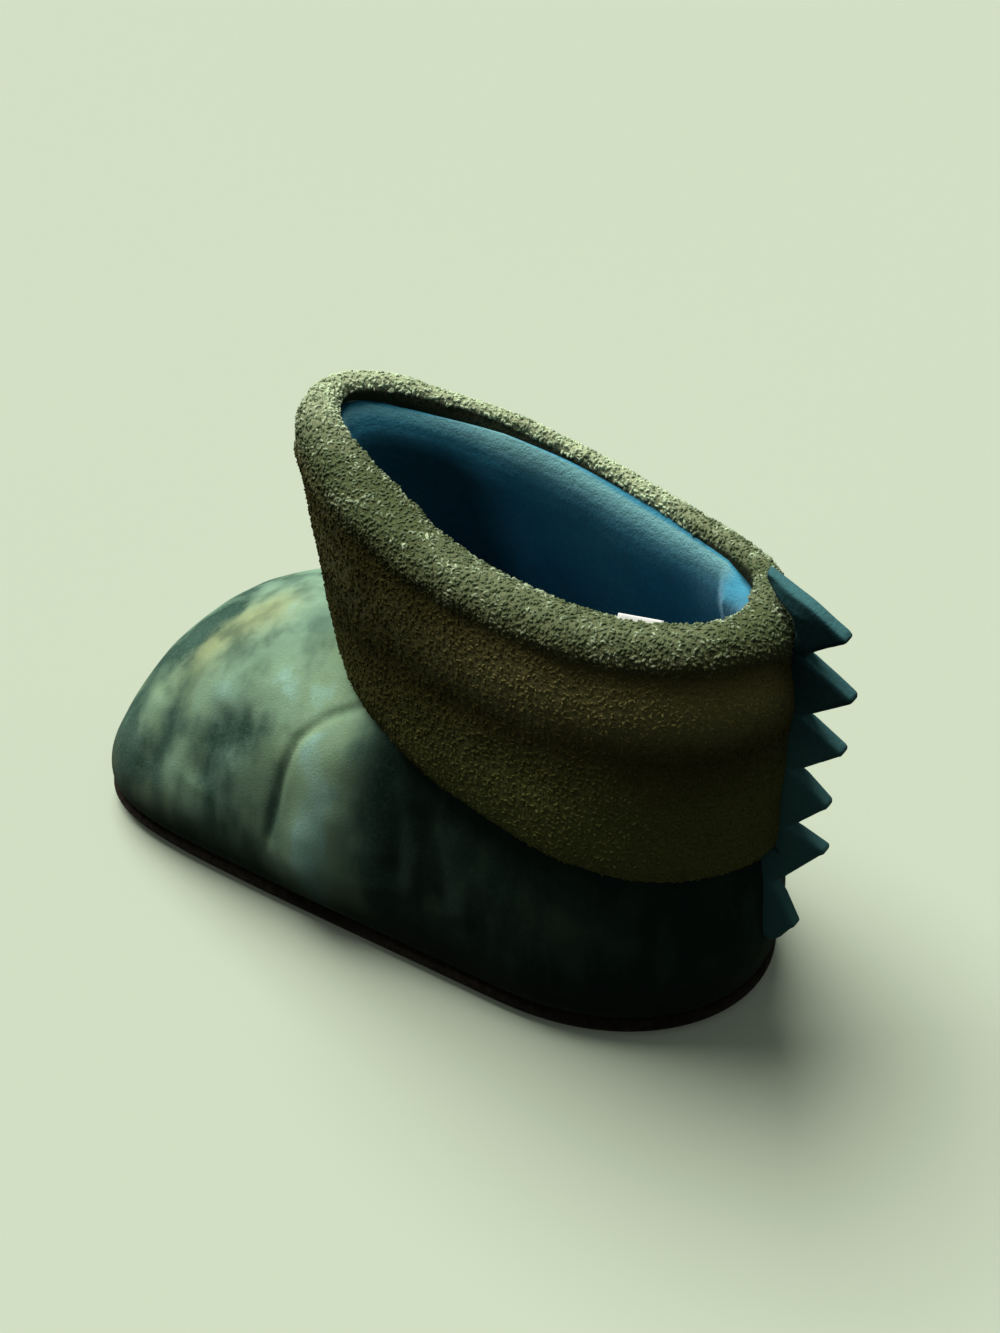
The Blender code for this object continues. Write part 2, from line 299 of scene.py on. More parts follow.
def outwardness(points, directions):
    """How far each direction points away from the room inside the boot, from -1 to 1."""
    x, _, z = points.T
    none = np.zeros(len(points))
    floor_line = np.stack([np.clip(x, ROOM_BACK, ROOM_TOE), none, none + ROOM_LOW], axis=1)
    shaft_plane = np.stack([np.clip(x, ROOM_BACK, ROOM_FRONT), none, np.clip(z, ROOM_LOW, ROOM_HIGH)], axis=1)
    to_floor = np.linalg.norm(points - floor_line, axis=1)
    to_shaft = np.linalg.norm(points - shaft_plane, axis=1)
    away = points - np.where((to_floor < to_shaft)[:, None], floor_line, shaft_plane)
    return (away * directions).sum(axis=1) / np.maximum(np.linalg.norm(away, axis=1), 1e-6)


def into_shaft(points):
    """The level direction from each point to the middle of the shaft."""
    past_front = np.log1p(np.exp((ROOM_FRONT - points[:, 0]) / ROOM_SOFTNESS))
    middle = np.maximum(ROOM_FRONT - ROOM_SOFTNESS * past_front, ROOM_BACK)
    way = np.stack([middle - points[:, 0], -points[:, 1], np.zeros(len(points))], axis=1)
    return way / np.maximum(np.linalg.norm(way, axis=1), 1e-6)[:, None]


# How the soft collar has settled: where, as ramps along X, Y and Z from none to all, and which way it has moved
Settling = namedtuple("Settling", "x y z move")
COLLAR_SETTLING = {
    "far side sinks towards the back": Settling((-2, -50), (0, -22), (70, 98), (0.0, 2.1, -2.3)),
    "far front corner is drawn out": Settling((22, 42), (12, 0), (70, 100), (2.6, -0.6, 0.3)),
    "back rim leans in": Settling((-58, -72), (7, -8), (92, 104), (2.6, 0.0, 0.0)),
}


def settled(points):
    """Points after the collar's settling."""
    moved = points.copy()
    for place in COLLAR_SETTLING.values():
        share = ramp(points[:, 0], place.x) * ramp(points[:, 1], place.y) * ramp(points[:, 2], place.z)
        moved += share[:, None] * np.array(place.move)
    return moved


# Steps round the collar, its middle along X, what makes its width about round, and how many steps are evened
RIM_STEPS = 72
COLLAR_MIDDLE = -20
COLLAR_STRETCH, COLLAR_SHIFT = 1.9, 3
EVENED_STEPS = 7
# The upper's wall is measured this close to its top edge
WALL_TOP = 2.0


def round_shaft(points):
    """Each point's place round the middle of the collar, in rim steps, and its reach from there."""
    x, y = points[:, 0] - COLLAR_MIDDLE, points[:, 1] * COLLAR_STRETCH + COLLAR_SHIFT
    return (np.arctan2(y, x) / (2 * math.pi) % 1.0) * RIM_STEPS, np.hypot(x, y)


def ring_at(points, ring):
    """A ring's value, given at equal steps round the shaft, at each point's place."""
    at = round_shaft(points)[0]
    low = np.floor(at).astype(int) % RIM_STEPS
    t = at - np.floor(at)
    return ring[low] * (1 - t) + ring[(low + 1) % RIM_STEPS] * t


def evened(ring):
    """A ring without its gaps and jumps."""
    empty = np.isnan(ring)
    if empty.any():
        ring[empty] = np.interp(np.flatnonzero(empty), np.flatnonzero(~empty), ring[~empty], period=RIM_STEPS)
    beside = EVENED_STEPS // 2
    closed = np.concatenate([ring[-beside:], ring, ring[:beside]])
    return np.convolve(closed, np.ones(EVENED_STEPS) / EVENED_STEPS, mode="valid")


def ring_of(points, values, taken):
    """A value at equal steps round the shaft, taken from the values of each step's points."""
    step = np.floor(round_shaft(points)[0]).astype(int)
    return evened(np.array([taken(values[step == s]) if (step == s).any() else np.nan for s in range(RIM_STEPS)]))


def top_ring(points):
    """The height of a piece's top edge at equal steps round the shaft."""
    return ring_of(points, points[:, 2], np.max)


def wall_ring(points):
    """The reach of the upper's wall at its top edge, at equal steps round the shaft."""
    high = points[below_rim(points, top_ring(points)) < WALL_TOP]
    return ring_of(high, round_shaft(high)[1], np.mean)


def below_rim(points, rim):
    """How far each point lies below a rim at its place round the shaft."""
    return ring_at(points, rim) - points[:, 2]


# Materials

# The velour's lit and dark colours are lit and shaded copies of the cloth. The yellower crown colour and the palest
# one are painted highlights, the crest and trough colours painted highlight and shade on the folds, and the colours
# at the heel and by the sole painted shade.
VELOUR = {
    "dark": (0.024, 0.066, 0.046), "dark patch": (0.048, 0.104, 0.078),
    "lit": (0.238, 0.400, 0.282), "lit patch": (0.300, 0.450, 0.255),
    "sunny": (0.390, 0.430, 0.195), "palest": (0.370, 0.640, 0.530), "fleck": (0.200, 0.300, 0.230),
    "crest": (0.220, 0.370, 0.280), "trough": (0.020, 0.050, 0.036),
    "heel": (0.004, 0.010, 0.007), "by the sole": (0.012, 0.015, 0.011),
}
# The terry's side colour is painted shade on the near side, and its bulge colour a painted highlight under the rim.
# The dark and pale rim colours are shaded and lit copies of the rim, the crest and trough colours painted highlight
# and shade on the swellings, and the tucked colour painted shade in the gap by the lining. The pale and dark loops
# follow random tone and the rim's painted light.
TERRY = {
    "plain": (0.064, 0.054, 0.015), "patch": (0.092, 0.082, 0.025),
    "pale loop": (0.104, 0.096, 0.034), "dark loop": (0.056, 0.047, 0.013),
    "side": (0.028, 0.026, 0.004), "bulge": (0.340, 0.300, 0.105), "hem": (0.150, 0.160, 0.046),
    "dark rim": (0.114, 0.155, 0.076), "pale rim": (0.600, 0.730, 0.480),
    "dark rim ground": (0.105, 0.130, 0.056), "pale rim ground": (0.500, 0.580, 0.350),
    "crest": (0.150, 0.155, 0.070), "trough": (0.050, 0.046, 0.016), "tucked": (0.010, 0.014, 0.007),
}
# The fleece's crest and trough colours are painted light and shade: the lining's lit edge, and its shaded front,
# depths and tuck.
FLEECE = {
    "plain": (0.046, 0.270, 0.410), "patch": (0.066, 0.330, 0.480), "fleck": (0.080, 0.350, 0.500),
    "crest": (0.240, 0.520, 0.520), "trough": (0.006, 0.050, 0.075),
}
# The felt's crest and trough colours are painted light and shade on the spikes' faces, and its low colour paints the
# lower spikes paler, as if lit.
FELT = {
    "plain": (0.012, 0.048, 0.052), "patch": (0.022, 0.070, 0.075), "fleck": (0.040, 0.110, 0.118),
    "crest": (0.062, 0.180, 0.190), "trough": (0.007, 0.028, 0.029), "low": (0.072, 0.200, 0.195),
}
SOLE_CLOTH = {"plain": (0.016, 0.012, 0.009), "patch": (0.030, 0.024, 0.018), "fleck": (0.046, 0.038, 0.029)}
LABEL_TAPE = {"plain": (0.82, 0.82, 0.79), "patch": (0.90, 0.90, 0.87)}
# Each cloth's pile and surface. fibre, clump and patch are scales, and depth, which is the relief's, is in metres.
Cloth = namedtuple("Cloth", "fibre clump patch pits roughness bump depth sheen tint")
CLOTHS = {
    "teal velour": Cloth(3200.0, 1300.0, 30.0, 0.2, 0.92, 0.4, 0.0005, 0.06, (0.70, 0.95, 0.78)),
    "terry ground": Cloth(1500.0, 700.0, 40.0, 0.6, 0.95, 0.8, 0.0012, 0.06, (0.8, 0.85, 0.5)),
    "terry loops": Cloth(2400.0, 420.0, 45.0, 0.4, 0.92, 0.3, 0.0004, 0.04, (0.85, 0.9, 0.5)),
    "blue fleece": Cloth(1900.0, 620.0, 30.0, 0.5, 0.9, 0.5, 0.0007, 0.4, (0.6, 0.85, 1.0)),
    "teal felt": Cloth(2100.0, 800.0, 60.0, 0.5, 0.92, 0.5, 0.0006, 0.12, (0.65, 0.9, 1.0)),
    "dark sole": Cloth(1700.0, 480.0, 42.0, 0.6, 0.88, 0.7, 0.0008, 0.1, (0.8, 0.75, 0.7)),
    "white label tape": Cloth(3000.0, 1600.0, 90.0, 0.3, 0.6, 0.3, 0.0002, 0.1, (1.0, 1.0, 1.0)),
}
CLOTH_SPECULAR, SHEEN_ROUGHNESS = 0.04, 0.4
VALUE, COLOUR, PLACE = "NodeSocketFloat", "NodeSocketColor", "NodeSocketVector"


def add(tree, kind, settings=(), **sockets):
    """Adds a node with its settings, and fills its inputs."""
    made = tree.nodes.new("ShaderNode" + kind)
    for setting, value in dict(settings).items():
        setattr(made, setting, value)
    fill(tree, made, **sockets)
    return made


def fill(tree, made, **sockets):
    """Sets or links a node's inputs. An underscore stands for a space."""
    for name, value in sockets.items():
        link_or_set(tree, made.inputs[name.replace("_", " ")], value)


def link_or_set(tree, socket, value):
    if isinstance(value, bpy.types.NodeSocket):
        tree.links.new(value, socket)
    else:
        socket.default_value = value


def mix(tree, share, first, second):
    """A colour between two others."""
    made = add(tree, "Mix", {"data_type": "RGBA"})
    link_or_set(tree, made.inputs[0], share)
    for socket, value in ((made.inputs[6], first), (made.inputs[7], second)):
        link_or_set(tree, socket, (*value, 1.0) if isinstance(value, tuple) else value)
    return made.outputs[2]


def sums(tree, operation, first, second):
    made = add(tree, "Math", {"operation": operation})
    link_or_set(tree, made.inputs[0], first)
    link_or_set(tree, made.inputs[1], second)
    return made.outputs[0]


def spread(tree, value, low, high, start=0.0, end=1.0):
    """A value from low to high, eased onto the range from start to end."""
    made = add(
        tree, "MapRange", {"interpolation_type": "SMOOTHSTEP"},
        Value=value, From_Min=low, From_Max=high, To_Min=start, To_Max=end,
    )
    return made.outputs[0]


def mask(tree, name):
    return add(tree, "Attribute", {"attribute_name": name}).outputs["Fac"]


def group_with(name, inputs, outputs):
    """An empty node group with named sockets, and its input and output nodes."""
    group = bpy.data.node_groups.new(name, "ShaderNodeTree")
    for way, sockets in (("INPUT", inputs), ("OUTPUT", outputs)):
        for socket, kind in sockets:
            group.interface.new_socket(socket, in_out=way, socket_type=kind)
    return group, group.nodes.new("NodeGroupInput").outputs, group.nodes.new("NodeGroupOutput").inputs


def make_pile_group():
    """Pile of a cloth: the height of its fibres, slow patches where the pile lies another way, flecks and streaks."""
    group, given, put = group_with(
        "cloth pile",
        [
            ("Place", PLACE), ("Fibre scale", VALUE), ("Clump scale", VALUE), ("Patch scale", VALUE),
            ("Clump depth", VALUE),
        ],
        [("Height", VALUE), ("Patch", VALUE), ("Fleck", VALUE), ("Streak", VALUE)],
    )
    place = given["Place"]
    fibres = add(
        group, "TexNoise", Vector=place, Scale=given["Fibre scale"], Detail=3.0, Roughness=0.65,
    )
    clumps = add(group, "TexVoronoi", Vector=place, Scale=given["Clump scale"])
    patches = add(
        group, "TexNoise",
        Vector=place, Scale=given["Patch scale"], Detail=2.5, Roughness=0.55, Distortion=0.5,
    )
    flecks = add(
        group, "TexNoise", Vector=place, Scale=given["Clump scale"], Detail=2.0, Roughness=0.6,
    )
    drawn = add(group, "Mapping", Vector=place, Scale=(1.0, 1.0, 0.3)).outputs["Vector"]
    streak_scale = sums(group, "MULTIPLY", given["Patch scale"], 4.5)
    streaks = add(group, "TexNoise", Vector=drawn, Scale=streak_scale, Detail=3.0)
    pits = sums(group, "MULTIPLY", clumps.outputs["Distance"], given["Clump depth"])
    height = sums(group, "SUBTRACT", fibres.outputs["Fac"], pits)
    group.links.new(height, put["Height"])
    spreads = {"Patch": (patches, 0.34, 0.66), "Fleck": (flecks, 0.42, 0.68), "Streak": (streaks, 0.35, 0.65)}
    for name, (made, low, high) in spreads.items():
        group.links.new(spread(group, made.outputs["Fac"], low, high), put[name])
    return group


def make_fold_group():
    """Painted highlights on the crests and painted shade in the troughs of a folded cloth."""
    group, given, put = group_with(
        "fold shade",
        [
            ("Colour", COLOUR), ("Crest colour", COLOUR), ("Trough colour", COLOUR), ("Fold", VALUE),
            ("Strength", VALUE),
        ],
        [("Colour", COLOUR)],
    )
    crest = sums(group, "MULTIPLY", spread(group, given["Fold"], 0.0, 1.0), given["Strength"])
    trough = sums(group, "MULTIPLY", spread(group, given["Fold"], 0.0, -1.0), given["Strength"])
    brushed = mix(group, crest, given["Colour"], given["Crest colour"])
    group.links.new(mix(group, trough, brushed, given["Trough colour"]), put["Colour"])
    return group


def new_material(name):
    material = bpy.data.materials.new(name)
    material.use_nodes = True
    tree = material.node_tree
    return material, tree, tree.nodes["Principled BSDF"]


def new_cloth(name):
    """A cloth's material, still without its colour, its node tree and the outputs of its pile."""
    cloth = CLOTHS[name]
    material, tree, shader = new_material(name)
    nap = add(
        tree, "Group", {"node_tree": PILE}, Place=add(tree, "TexCoord").outputs["Object"],
        Fibre_scale=cloth.fibre, Clump_scale=cloth.clump, Patch_scale=cloth.patch, Clump_depth=cloth.pits,
    ).outputs
    relief = add(tree, "Bump", Strength=cloth.bump, Distance=cloth.depth, Height=nap["Height"])
    fill(
        tree, shader, Roughness=cloth.roughness, Specular_IOR_Level=CLOTH_SPECULAR, Normal=relief.outputs["Normal"],
        Sheen_Weight=cloth.sheen, Sheen_Roughness=SHEEN_ROUGHNESS, Sheen_Tint=(*cloth.tint, 1.0),
    )
    return material, tree, nap


def coloured(material, colour):
    """A cloth's material with its colour."""
    tree = material.node_tree
    fill(tree, tree.nodes["Principled BSDF"], Base_Color=colour)
    return material


def patchy(tree, nap, cloth):
    """A cloth's plain colour with its pile's patches."""
    return mix(tree, nap["Patch"], cloth["plain"], cloth["patch"])


def flecked(tree, nap, colour, cloth, strength):
    """A colour with the flecks of a cloth's pile."""
    return mix(tree, sums(tree, "MULTIPLY", nap["Fleck"], strength), colour, cloth["fleck"])


def varied(tree, value, by, strength):
    """A value made uneven by another that runs from 0 to 1."""
    return sums(tree, "ADD", value, sums(tree, "MULTIPLY", sums(tree, "SUBTRACT", by, 0.5), strength))


def fold_shade(tree, colour, cloth, strength):
    """A colour with painted highlights on the crests and painted shade in the troughs of a cloth's folds."""
    return add(
        tree, "Group", {"node_tree": FOLDS},
        Colour=colour, Crest_colour=(*cloth["crest"], 1), Trough_colour=(*cloth["trough"], 1),
        Fold=mask(tree, "fold"), Strength=strength,
    ).outputs["Colour"]


def make_velour():
    material, tree, nap = new_cloth("teal velour")
    dark = mix(tree, nap["Patch"], VELOUR["dark"], VELOUR["dark patch"])
    lit = mix(tree, nap["Patch"], VELOUR["lit"], VELOUR["lit patch"])
    lit = mix(tree, mask(tree, "sunny"), lit, VELOUR["sunny"])
    brushed = varied(tree, mask(tree, "brushed"), nap["Streak"], 0.7)
    colour = mix(tree, spread(tree, brushed, -0.30, 1.55), dark, lit)
    colour = mix(tree, spread(tree, brushed, 1.4, 2.3), colour, VELOUR["palest"])
    colour = flecked(tree, nap, colour, VELOUR, 0.2)
    colour = fold_shade(tree, colour, VELOUR, 0.25)
    colour = mix(tree, mask(tree, "at_heel"), colour, VELOUR["heel"])
    colour = mix(tree, mask(tree, "near_sole"), colour, VELOUR["by the sole"])
    return coloured(material, colour)


def banded(tree, colour, rim_colour):
    """A terry colour with the cuff's bands over it."""
    bands = {"side": TERRY["side"], "bulge": TERRY["bulge"], "rim": rim_colour, "low": TERRY["hem"]}
    for band, band_colour in bands.items():
        colour = mix(tree, mask(tree, band), colour, band_colour)
    return colour


def make_terry_ground():
    material, tree, nap = new_cloth("terry ground")
    colour = patchy(tree, nap, TERRY)
    rim_colour = mix(tree, mask(tree, "tone"), TERRY["dark rim ground"], TERRY["pale rim ground"])
    colour = fold_shade(tree, banded(tree, colour, rim_colour), TERRY, 0.5)
    colour = mix(tree, mask(tree, "tucked"), colour, TERRY["tucked"])
    return coloured(material, colour)


def make_terry_loops():
    material, tree, nap = new_cloth("terry loops")
    tone = varied(tree, mask(tree, "tone"), nap["Fleck"], 0.7)
    colour = patchy(tree, nap, TERRY)
    colour = mix(tree, spread(tree, tone, 0.5, 1.2), colour, TERRY["pale loop"])
    colour = mix(tree, spread(tree, tone, 0.35, -0.2), colour, TERRY["dark loop"])
    rim_colour = mix(tree, spread(tree, tone, -0.15, 1.15), TERRY["dark rim"], TERRY["pale rim"])
    return coloured(material, banded(tree, colour, rim_colour))


def make_fleece():
    material, tree, nap = new_cloth("blue fleece")
    colour = flecked(tree, nap, patchy(tree, nap, FLEECE), FLEECE, 0.4)
    return coloured(material, fold_shade(tree, colour, FLEECE, 0.9))


def make_felt():
    material, tree, nap = new_cloth("teal felt")
    colour = flecked(tree, nap, patchy(tree, nap, FELT), FELT, 0.35)
    colour = fold_shade(tree, colour, FELT, 0.9)
    return coloured(material, mix(tree, mask(tree, "low"), colour, FELT["low"]))


def make_sole_cloth():
    material, tree, nap = new_cloth("dark sole")
    return coloured(material, flecked(tree, nap, patchy(tree, nap, SOLE_CLOTH), SOLE_CLOTH, 0.5))


def make_label_tape():
    material, tree, nap = new_cloth("white label tape")
    return coloured(material, patchy(tree, nap, LABEL_TAPE))


# Pieces

# The foot's mesh is fine below this height, and its folds run from above the sole to under the cuff
FINE_BELOW = 68
FOLDS_ABOVE_SOLE, FOLDS_UNDER_CUFF = (5.3, 9.3), (66, 60)
FULL_FOLD = 1.6
FOOT_LUMPS = [Wave(0.45, 17.0, 3), Wave(0.2, 7.0, 5)]
# Pile and painted light all over the foot, how far back the toe's painted light reaches, and the share of that left
# at the heel, which lies in painted shade
PLAIN_BRUSH = 0.72
PALE_PART, HEEL_SHARE = (-4, 14), 0.1
BRUSH_RANGE = (-1, 2.2)
NAP_DRAW = np.array([1.0, 1.0, 0.5])
NAP_LUMPS = [Wave(0.45, 9.0, 13), Wave(0.2, 3.8, 17)]
# The painted highlight on the crown, and the painted shade at the heel and by the sole
SUNNY_STRENGTH, SUNNY_WIDTH = 0.75, 7.5
HEEL_SHADE = 0.95
SOLE_SHADE, SOLE_SHADE_HEIGHTS = 0.93, (21, 9)


def brush_pile(piece, points):
    """Lie of the velour's pile, painted light on the toe and crown, and painted shade at the heel and by the sole."""
    at_toe = np.maximum(fade(points[:, 0], PALE_PART), HEEL_SHARE)
    brushed = PLAIN_BRUSH * at_toe
    for stroke in PILE_STROKES.values():
        for side, share in ((1, 1.0), (-1, FAR_STROKE_SHARE)):
            distance, _ = along_line(points, [(x, side * y, z) for x, y, z in stroke.line])
            brushed += share * stroke.strength * bell(distance, stroke.width)
    brushed += at_toe * lumps(points * NAP_DRAW, NAP_LUMPS)
    sunny, _ = along_line(points, SUNNY_CROWN)
    write_masks(
        piece,
        brushed=np.clip(brushed, *BRUSH_RANGE),
        sunny=SUNNY_STRENGTH * bell(sunny, SUNNY_WIDTH),
        at_heel=HEEL_SHADE * (1 - at_toe),
        near_sole=SOLE_SHADE * fade(points[:, 2], SOLE_SHADE_HEIGHTS),
    )


def make_foot():
    """The velour upper: fine where it shows, with its folds and a little unevenness."""
    piece = copy_of("upper", "velour_upper")
    subdivide(piece, 2)
    centres = face_centres(piece)
    shows = (outwardness(centres, face_normals(piece)) > 0) & (centres[:, 2] < FINE_BELOW)
    select_faces(piece, shows)
    edit(
        piece,
        (bpy.ops.mesh.subdivide, {"number_cuts": 1}),
        (bpy.ops.mesh.vertices_smooth, {"factor": 0.5, "repeat": 3}),
    )
    points = points_of(piece)
    normals = normals_of(piece)
    folds = list(FOOT_FOLDS.values()) + [mirrored(f) for f in FOOT_FOLDS.values()]
    rise = fold_heights(points, folds) + lumps(points, FOOT_LUMPS)
    rise *= outwardness(points, normals) > 0
    rise *= fade(points[:, 2], FOLDS_ABOVE_SOLE) * fade(points[:, 2], FOLDS_UNDER_CUFF)
    move_to(piece, settled(points + normals * rise[:, None]))
    # The folds' heights, for painted highlights on their crests and painted shade in their troughs
    write_masks(piece, fold=np.clip(rise / FULL_FOLD, -1, 1))
    brush_pile(piece, points)
    dress(piece, make_velour(), "upper", "upper")


# How far the rim's inner side swells inwards, at places round the collar in degrees from the front by the near side
LIP_PLACES = [0, 15, 30, 55, 80, 110, 130, 150, 180, 212, 250, 315, 345]
LIP_SWELLS = [2.0, 5.2, 5.0, 3.1, 2.4, 2.0, 1.8, 1.2, 3.0, -0.6, -1.8, -2.0, -2.0]
# The lip reaches from inside the wall to a little past it, and this far down
LIP_REACH = (3, -5)
LIP_END = 14
# Swellings of the cuff: their height, their depth below the rim, and their width up and down
Swelling = namedtuple("Swelling", "height depth width")
RIM_PUFF = Swelling(0.4, 4.0, 4.0)
CREASE = Swelling(-0.5, 12.5, 3.6)
LOWER_BULGE = Swelling(0.9, 21.0, 6.0)
# The outer face of the padding begins and ends at these outwardnesses
OUTER_FACE = (-0.25, 0.25)
# The crease is filled at the front, and lies higher on the near side
NEAR_SIDE = (-2, 12)
CREASE_FILL, FRONT_OF_CUFF = 1.9, (12, 36)
CREASE_RISE, RISE_WIDTH = 5.2, 6.5
FULL_SWELLING = 1.2
CUFF_LUMPS = [Wave(0.55, 16.0, 21), Wave(0.3, 7.0, 23)]
# Painted shade in the gap between rim and lining: how dark it is, and the depths below the rim where it darkens
GAP_SHADE, GAP_DEPTHS = 0.95, (1.6, 2.8)
# Painted light on the terry round the rim, lit on the far side: its middle and swing across the boot, and where,
# along
# X and Y, it is darker in painted shade
RIM_TONE, RIM_SWING = 0.60, 0.46
RIM_SKEW, RIM_SHIFT, RIM_EASE = 0.14, 2, 16
DarkerPlace = namedtuple("DarkerPlace", "fall x y")
DARKER_RIM = {
    "far back": DarkerPlace(0.6, (-15, -48), (4, -12)),
    "near front": DarkerPlace(0.35, (-12, 12), (-4, 12)),
    "near back corner": DarkerPlace(0.5, (-64, -73), (-2, 8)),
}
# Bands of the terry. The rim's ends are off the crease. The near side's bulge, painted lit, lies below the crease,
# and the strength of its painted highlight is given at lengths back from the frame's middle. The hem is weaker to the
# front.
# The near side of the sleeve is painted in shade between two ramps along X.
RIM_BAND = (0.5, -7.0)
BULGE_BELOW, BULGE_WIDTH = 8.5, 6.5
LIT_BULGE = [(-10, 10, 25, 45, 68), (0.0, 0.2, 0.52, 0.75, 1.0)]
HEM_BAND = (29, 43)
HEM_STRENGTH, HEM_FALL, HEM_FRONT = 0.8, 0.6, (-25, 10)
SIDE_STRENGTH, SIDE_FROM, SIDE_TO = 0.62, (-32, -6), (38, 24)


def lip_swell(points):
    return np.interp(round_shaft(points)[0] * 360 / RIM_STEPS, LIP_PLACES, LIP_SWELLS, period=360)


def near_side(points):
    """1 on the near side of the shaft, 0 on the far side."""
    return ramp(points[:, 1], NEAR_SIDE)


def crease_depth(points):
    """How deep below the rim the settled crease lies."""
    return CREASE.depth - CREASE_RISE * near_side(points)


def rim_tone(points):
    """Painted light on the terry round the rim, from about 0 to 1: palest on the far side, which stands lit."""
    across = (points[:, 0] * RIM_SKEW - points[:, 1] - RIM_SHIFT) / RIM_EASE
    tone = RIM_TONE + RIM_SWING * np.tanh(across)
    for place in DARKER_RIM.values():
        tone -= place.fall * ramp(points[:, 0], place.x) * ramp(points[:, 1], place.y)
    return tone


def terry_bands(points, rim):
    """Where the terry differs: the rim, the near side's bulge under it, painted lit, the hem, and the side in painted
    shade.
    """
    depth = below_rim(points, rim)
    crease = crease_depth(points)
    near = near_side(points)
    lengthways = points[:, 0]
    lit = np.interp(-lengthways, *LIT_BULGE)
    return {
        "rim": fade(depth, (crease + RIM_BAND[0], crease + RIM_BAND[1])),
        "bulge": bell(depth - crease - BULGE_BELOW, BULGE_WIDTH) * near * lit,
        "low": fade(depth, HEM_BAND) * (HEM_STRENGTH - HEM_FALL * ramp(lengthways, HEM_FRONT)),
        "side": SIDE_STRENGTH * near * ramp(lengthways, SIDE_FROM) * ramp(lengthways, SIDE_TO),
    }


def make_cuff():
    """The padded cuff: a puffed rim, the crease under it and a second soft bulge."""
    piece = copy_of("cuff", "terry_cuff")
    rim = top_ring(points_of(piece))
    wall = wall_ring(points_of(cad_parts["upper"]))
    subdivide(piece, 2)
    points = points_of(piece)
    normals = normals_of(piece)
    depth = below_rim(points, rim)
    rise = lumps(points, CUFF_LUMPS)
    for swelling in (RIM_PUFF, CREASE, LOWER_BULGE):
        rise += swelling.height * bell(depth - swelling.depth, swelling.width)
    rise += CREASE_FILL * ramp(points[:, 0], FRONT_OF_CUFF) * bell(depth - CREASE.depth, CREASE.width)
    rise *= fade(outwardness(points, normals), OUTER_FACE)
    edge = ring_at(points, wall)
    lip = fade(round_shaft(points)[1], (edge + LIP_REACH[0], edge + LIP_REACH[1])) * (depth < LIP_END)
    inward = lip * lip_swell(points)
    moved = points + normals * rise[:, None] + into_shaft(points) * inward[:, None]
    moved[:, 2] += CREASE_RISE * bell(depth - CREASE.depth, RISE_WIDTH) * near_side(points)
    move_to(piece, settled(moved))
    placed = points_of(piece)
    rim = top_ring(placed)
    inside = 1 - fade(outwardness(placed, normals_of(piece)), OUTER_FACE)
    # Painted highlight and shade on the swellings, painted shade in the gap by the lining, the rim's painted light
    # and the bands
    write_masks(
        piece,
        fold=np.clip(rise / FULL_SWELLING, -1, 1) * (1 - lip),
        tucked=GAP_SHADE * inside * fade(below_rim(placed, rim), GAP_DEPTHS),
        tone=rim_tone(points),
        **terry_bands(placed, rim),
    )
    dress(piece, make_terry_ground(), "cuff", "cuff")
    return piece, rim


# Loops of the terry: their spacing, their size, how high they stand for it, and the seed of their draw
Loops = namedtuple("Loops", "spacing size stand seed")
RIM_LOOPS = Loops(1.1, 0.95, 1.0, 31)
SLEEVE_LOOPS = Loops(1.34, 0.95, 0.5, 37)
# One loop of size 1: its thread's sides and steps, its reach and height, the thread's thickness in and across the
# loop, and how far its ends sink in
LOOP_SIDES, LOOP_STEPS = 3, 3
LOOP_REACH, LOOP_HEIGHT = 0.40, 0.85
THREAD_IN, THREAD_ACROSS = 0.30, 0.40
LOOP_SINK = 0.10
# What each loop draws: its lean, its scale and its tone
LOOP_LEAN = 0.35
LOOP_SCALES = (0.75, 1.25)
LOOP_TONES = (-0.3, 0.3)
TONE_LUMPS = [Wave(0.8, 4.5, 61)]
# Places tried for each cell of the spacing, and more cells than the boot has along any way
TRIES = 6
CELLS = 1000
# Loops of the rim stop short of the crease, and go this far down inside
RIM_SHORT, RIM_INSIDE = 0.5, 2.5


def loop_shape():
    """One terry loop standing on its two ends: points and faces."""
    points = []
    for step in range(LOOP_STEPS + 1):
        turn = math.pi * step / LOOP_STEPS
        for side in range(LOOP_SIDES):
            round_it = 2 * math.pi * side / LOOP_SIDES
            out = LOOP_REACH + THREAD_IN * math.cos(round_it)
            across = THREAD_ACROSS * math.sin(round_it)
            points.append((out * math.cos(turn), across, LOOP_HEIGHT * out * math.sin(turn) - LOOP_SINK))
    faces = []
    for step in range(LOOP_STEPS):
        for side in range(LOOP_SIDES):
            beside = (side + 1) % LOOP_SIDES
            lower, upper = step * LOOP_SIDES, (step + 1) * LOOP_SIDES
            faces.append((lower + side, lower + beside, upper + beside, upper + side))
    return np.array(points), np.array(faces)


